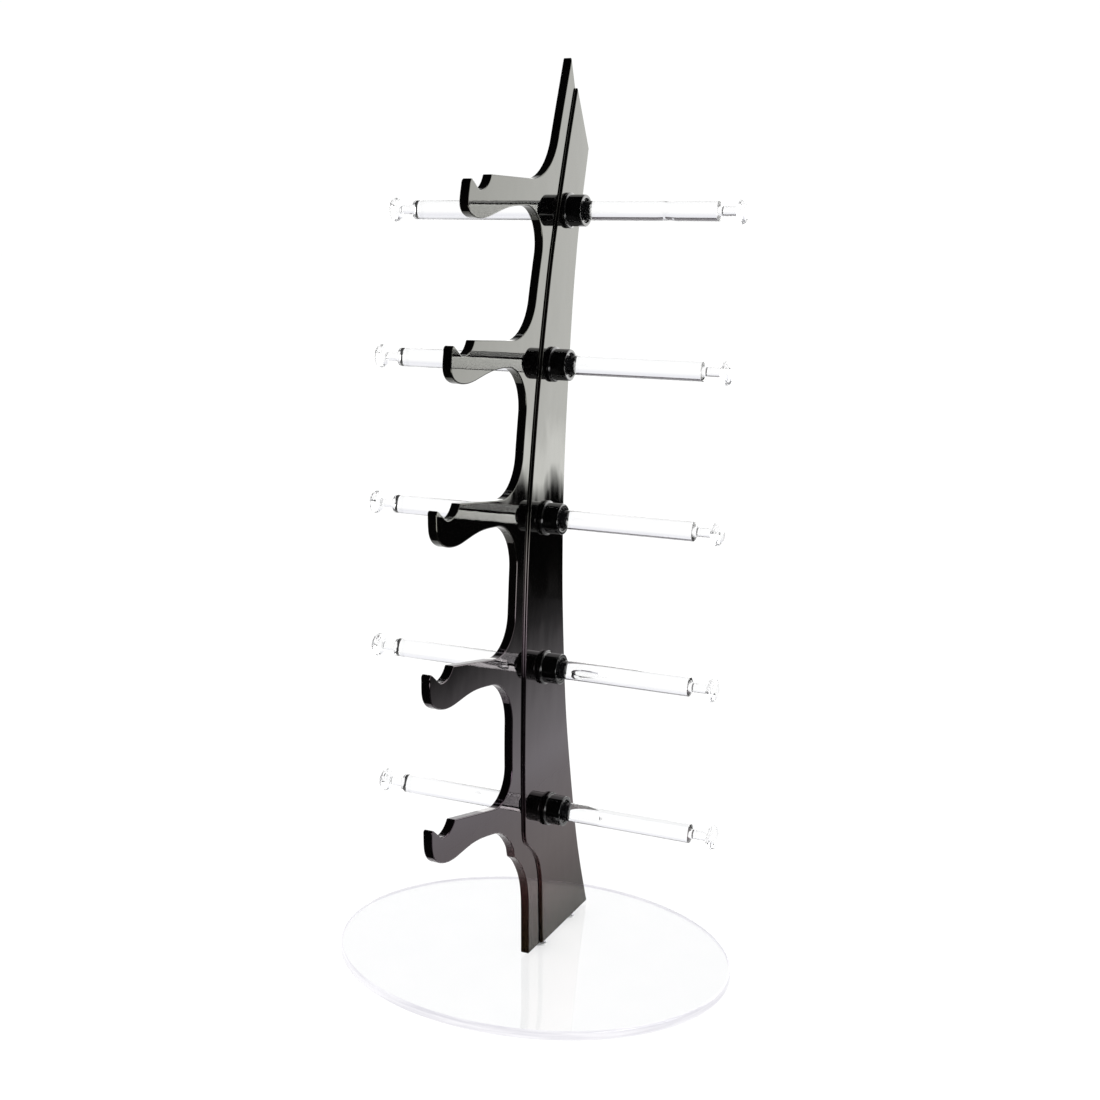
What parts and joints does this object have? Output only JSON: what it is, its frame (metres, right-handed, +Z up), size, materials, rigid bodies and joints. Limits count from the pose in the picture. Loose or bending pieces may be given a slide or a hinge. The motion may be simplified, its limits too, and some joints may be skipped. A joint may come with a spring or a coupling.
{
  "type": "eyeglass display rack",
  "caption": "Free-standing eyeglass display rack: bow-shaped upright with forward hooks, clear side pegs on black collars, oval clear base.",
  "frame": {"origin": "centre of the base plate's underside, on the table", "axes": "+Z up, +Y to the back of the rack, +X to the wearer's left peg side; the pegs lie along X and the hooks point along -Y"},
  "size_m": [0.176, 0.158, 0.378],
  "materials": {
    "gloss_black": "polished",
    "collar_black": "satin",
    "clear_acrylic": "clear, polished",
    "stud_black": "black oxide, threaded",
    "screw_steel": "zinc plated"
  },
  "bodies": {
    "stand": {"upright": "gloss_black", "base_plate": "clear_acrylic", "base_screw_front": "screw_steel", "base_screw_rear": "screw_steel", "stud_1": "stud_black", "stud_2": "stud_black", "stud_3": "stud_black", "stud_4": "stud_black", "stud_5": "stud_black", "collar_1_left": "collar_black", "collar_1_right": "collar_black", "collar_2_left": "collar_black", "collar_2_right": "collar_black", "collar_3_left": "collar_black", "collar_3_right": "collar_black", "collar_4_left": "collar_black", "collar_4_right": "collar_black", "collar_5_left": "collar_black", "collar_5_right": "collar_black"},
    "peg_1_left": {"peg_1_left": "clear_acrylic"},
    "peg_1_right": {"peg_1_right": "clear_acrylic"},
    "peg_2_left": {"peg_2_left": "clear_acrylic"},
    "peg_2_right": {"peg_2_right": "clear_acrylic"},
    "peg_3_left": {"peg_3_left": "clear_acrylic"},
    "peg_3_right": {"peg_3_right": "clear_acrylic"},
    "peg_4_left": {"peg_4_left": "clear_acrylic"},
    "peg_4_right": {"peg_4_right": "clear_acrylic"},
    "peg_5_left": {"peg_5_left": "clear_acrylic"},
    "peg_5_right": {"peg_5_right": "clear_acrylic"}
  },
  "joints": [
    {"name": "peg_1_left_unscrew", "type": "slide", "parent": "stand", "child": "peg_1_left", "axis": [-1, 0, 0], "range_m": [0, 0.01]},
    {"name": "peg_1_right_unscrew", "type": "slide", "parent": "stand", "child": "peg_1_right", "axis": [1, 0, 0], "range_m": [0, 0.01]},
    {"name": "peg_2_left_unscrew", "type": "slide", "parent": "stand", "child": "peg_2_left", "axis": [-1, 0, 0], "range_m": [0, 0.01]},
    {"name": "peg_2_right_unscrew", "type": "slide", "parent": "stand", "child": "peg_2_right", "axis": [1, 0, 0], "range_m": [0, 0.01]},
    {"name": "peg_3_left_unscrew", "type": "slide", "parent": "stand", "child": "peg_3_left", "axis": [-1, 0, 0], "range_m": [0, 0.01]},
    {"name": "peg_3_right_unscrew", "type": "slide", "parent": "stand", "child": "peg_3_right", "axis": [1, 0, 0], "range_m": [0, 0.01]},
    {"name": "peg_4_left_unscrew", "type": "slide", "parent": "stand", "child": "peg_4_left", "axis": [-1, 0, 0], "range_m": [0, 0.01]},
    {"name": "peg_4_right_unscrew", "type": "slide", "parent": "stand", "child": "peg_4_right", "axis": [1, 0, 0], "range_m": [0, 0.01]},
    {"name": "peg_5_left_unscrew", "type": "slide", "parent": "stand", "child": "peg_5_left", "axis": [-1, 0, 0], "range_m": [0, 0.01]},
    {"name": "peg_5_right_unscrew", "type": "slide", "parent": "stand", "child": "peg_5_right", "axis": [1, 0, 0], "range_m": [0, 0.01]}
  ]
}
